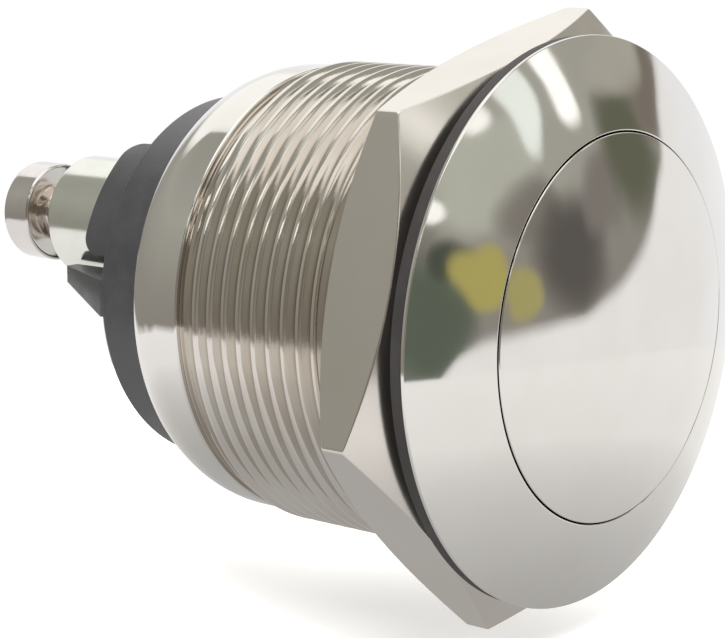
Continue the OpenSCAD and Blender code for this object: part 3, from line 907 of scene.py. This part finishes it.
# What the metal mirrors: azimuth from -Y towards +X, elevation, half width, half height, edge, colour
PATCHES = [
    (-60, 22, 46, 39, 0.5, (0.22, 0.20, 0.175)),
    (-73, 33, 22, 2.5, 0.5, (1.4, 1.38, 1.3)),
    (-71, 45, 22, 4, 0.5, (1.4, 1.37, 1.3)),
    (-32, 22, 19, 2.5, 0.5, (1.4, 1.38, 1.3)),
    (-24, 31, 19, 3, 0.5, (1.4, 1.37, 1.3)),
    (-12, 61, 66, 13, 0.5, (1.4, 1.38, 1.33)),
    (38, 24, 44, 17, 0.5, (0.42, 0.41, 0.365)),
    (20, 18, 11, 9, 0.5, (0.52, 0.53, 0.46)),
    (3, 5, 6, 8, 0.8, (0.24, 0.23, 0.20)),
    (16, 29, 8, 2.6, 0.5, (1.25, 1.25, 1.2)),
    (6, 14, 4, 2, 0.7, (1.2, 1.2, 1.15)),
    (27, 11, 8, 5, 0.9, (0.24, 0.22, 0.195)),
    (37, 3, 10, 9, 0.9, (0.12, 0.11, 0.1)),
    (49, 8, 6, 5, 0.9, (0.24, 0.22, 0.20)),
    (61, 12, 9, 7, 0.9, (0.14, 0.145, 0.10)),
    (76, 15, 8, 4, 0.8, (0.22, 0.19, 0.16)),
    (70, 21, 12, 4, 0.9, (0.46, 0.44, 0.38)),
    (3, -5, 8, 12, 0.7, (0.12, 0.145, 0.11)),
    (9, 6, 4, 3, 0.9, (0.08, 0.09, 0.07)),
    (13, 38, 13, 5, 0.5, (0.95, 0.93, 0.86)),
    (14, 2, 5, 5, 0.5, (0.48, 0.43, 0.14)),
    (23, -1, 4, 4, 0.6, (0.44, 0.40, 0.16)),
    (33, 26, 5, 8, 0.5, (1.0, 1.06, 1.0)),
    (46, 27, 4, 9, 0.5, (1.4, 1.4, 1.35)),
    (122, 0, 38, 28, 0.4, (0.96, 0.96, 0.97)),
    (128, 42, 54, 21, 0.4, (1.15, 1.14, 1.1)),
]
SWAY_ACROSS, SWAY_UP, SWAY_TABLE = 14.0, 9.0, 5.0  # degrees by which clouds shift the patches and the table's edge
# Height of the table's edge all round, azimuth and elevation
TABLE_EDGE = [(-180, -14), (-130, -14), (-60, -14), (-3, -17), (10, -10), (20, -7), (32, -7), (45, -4), (55, 0),
              (70, 8), (83, 13), (110, 6), (180, -14)]
TABLE_SPAN = 60.0  # degrees that the curve of the edge covers
# Tones from the table up, degrees above its edge and colour
ROOM_TONES = [
    (-40, (0.93, 0.92, 0.905)),
    (-1.5, (0.96, 0.95, 0.94)),
    (1.0, (0.30, 0.28, 0.25)),
    (14, (0.33, 0.315, 0.28)),
    (40, (0.42, 0.42, 0.37)),
    (63, (0.36, 0.35, 0.31)),
    (69, (1.4, 1.39, 1.35)),
    (100, (1.3, 1.3, 1.28)),
]
TONE_LOW = ROOM_TONES[0][0]
TONE_SPAN = ROOM_TONES[-1][0] - TONE_LOW


def room():
    """World: white where the camera looks past the object, and a room with a pale table in reflections."""
    world = bpy.data.worlds.new("studio")
    bpy.context.scene.world = world
    world.use_nodes = True
    t = Tree(world.node_tree)
    t.tree.nodes.clear()
    way = t.node("ShaderNodeTexCoord").outputs["Generated"]
    path = t.node("ShaderNodeLightPath").outputs
    cloud = t.node("ShaderNodeTexNoise", {"Vector": way, "Scale": 3.5, "Detail": 1.0, "Roughness": 0.4})
    shift = t.node("ShaderNodeSeparateColor", {0: cloud.outputs["Color"]}).outputs

    def swayed(value, channel, degrees):
        return t.math("MULTIPLY_ADD", t.math("SUBTRACT", shift[channel], 0.5), degrees, value)

    axes = t.node("ShaderNodeSeparateXYZ", {0: way}).outputs
    around = t.math("ARCTAN2", axes[0], t.math("MULTIPLY", axes[1], -1.0))
    azimuth = swayed(t.math("MULTIPLY", around, 360 / TAU), 0, SWAY_ACROSS)
    rise = t.math("MULTIPLY", t.math("ARCSINE", axes[2]), 360 / TAU)
    elevation = swayed(rise, 1, SWAY_UP)

    edge = t.node("ShaderNodeFloatCurve", {1: t.math("MULTIPLY_ADD", around, 1 / TAU, 0.5)})
    curve = edge.mapping.curves[0]
    while len(curve.points) < len(TABLE_EDGE):
        curve.points.new(0.5, 0.5)
    for point, (at, high) in zip(curve.points, TABLE_EDGE):
        point.location = (at / 360 + 0.5, high / TABLE_SPAN + 0.5)
    edge.mapping.update()
    table = t.math("MULTIPLY", t.math("SUBTRACT", edge.outputs[0], 0.5), TABLE_SPAN)
    above = swayed(t.math("SUBTRACT", rise, table), 1, SWAY_TABLE)
    ramp = t.node("ShaderNodeValToRGB", {0: t.math("MULTIPLY_ADD", above, 1 / TONE_SPAN, -TONE_LOW / TONE_SPAN)})
    band = ramp.color_ramp
    while len(band.elements) < len(ROOM_TONES):
        band.elements.new(0.5)
    for element, (high, colour) in zip(band.elements, ROOM_TONES):
        element.position = (high - TONE_LOW) / TONE_SPAN
        element.color = (*colour, 1)
    lit = ramp.outputs[0]
    clear = t.math("GREATER_THAN", above, 0.0)
    for across, up, half_width, half_height, softness, colour in PATCHES:
        oval = t.node("ShaderNodeGroup", {
            "Azimuth": azimuth, "Elevation": elevation, "Across": across, "Up": up, "Half Width": half_width,
            "Half Height": half_height, "Edge": softness}, node_tree=patch)
        mask = oval.outputs[0] if up == 0 else t.math("MULTIPLY", oval.outputs[0], clear)
        lit = t.mix(mask, lit, (*colour, 1))
    mirrored = t.node("ShaderNodeBackground", {"Color": lit, "Strength": 1.0})
    diffuse = t.node("ShaderNodeBackground", {"Color": (0.98, 0.99, 1, 1), "Strength": 0.75})
    plain = t.node("ShaderNodeBackground", {"Color": (1, 1, 1, 1), "Strength": 1.0})
    soft = t.node("ShaderNodeMixShader", {0: path["Is Glossy Ray"], 1: diffuse.outputs[0], 2: mirrored.outputs[0]})
    see = t.math("MAXIMUM", path["Is Camera Ray"], path["Is Transmission Ray"])
    all_of_it = t.node("ShaderNodeMixShader", {0: see, 1: soft.outputs[0], 2: plain.outputs[0]})
    t.node("ShaderNodeOutputWorld", {"Surface": all_of_it.outputs[0]})


# Camera's place, its directions to the right and ahead, and its lens
CAMERA_PLACE = (-71.911, -48.970, 15.799)
CAMERA_RIGHT = (0.63944, -0.76884, 0.0)
CAMERA_AHEAD = (0.75665, 0.62930, -0.17737)
SENSOR_WIDTH = 36.0
FOCAL_PIXELS, PHOTO_PIXELS = 2301, 725


def camera():
    """Camera at the photograph's place, found from the object's circles and corners."""
    right = Vector(CAMERA_RIGHT)
    ahead = Vector(CAMERA_AHEAD).normalized()
    up = right.cross(ahead).normalized()
    right = ahead.cross(up).normalized()
    lens = bpy.data.cameras.new("view")
    lens.sensor_width = SENSOR_WIDTH
    lens.sensor_fit = "HORIZONTAL"
    lens.lens = SENSOR_WIDTH * FOCAL_PIXELS / PHOTO_PIXELS
    lens.clip_start, lens.clip_end = 0.005, 5.0
    made = bpy.data.objects.new("view", lens)
    turn = Matrix((right, up, -ahead)).transposed().to_4x4()
    made.matrix_world = Matrix.Translation(Vector(CAMERA_PLACE) * MM) @ turn
    bpy.context.collection.objects.link(made)
    bpy.context.scene.camera = made


floor()
softbox("key", (-0.09, -0.06, 0.22), (0, 0.005, 0), 0.16, 0.6)
softbox("fill", (0.16, -0.12, 0.10), (0, 0, 0), 0.12, 0.12)
softbox("back", (0.094, 0.14, 0.125), (0, 0.01, 0), 0.11, 0.2)
patch = patch_group()
room()
camera()
bpy.context.scene.view_settings.view_transform = "Standard"
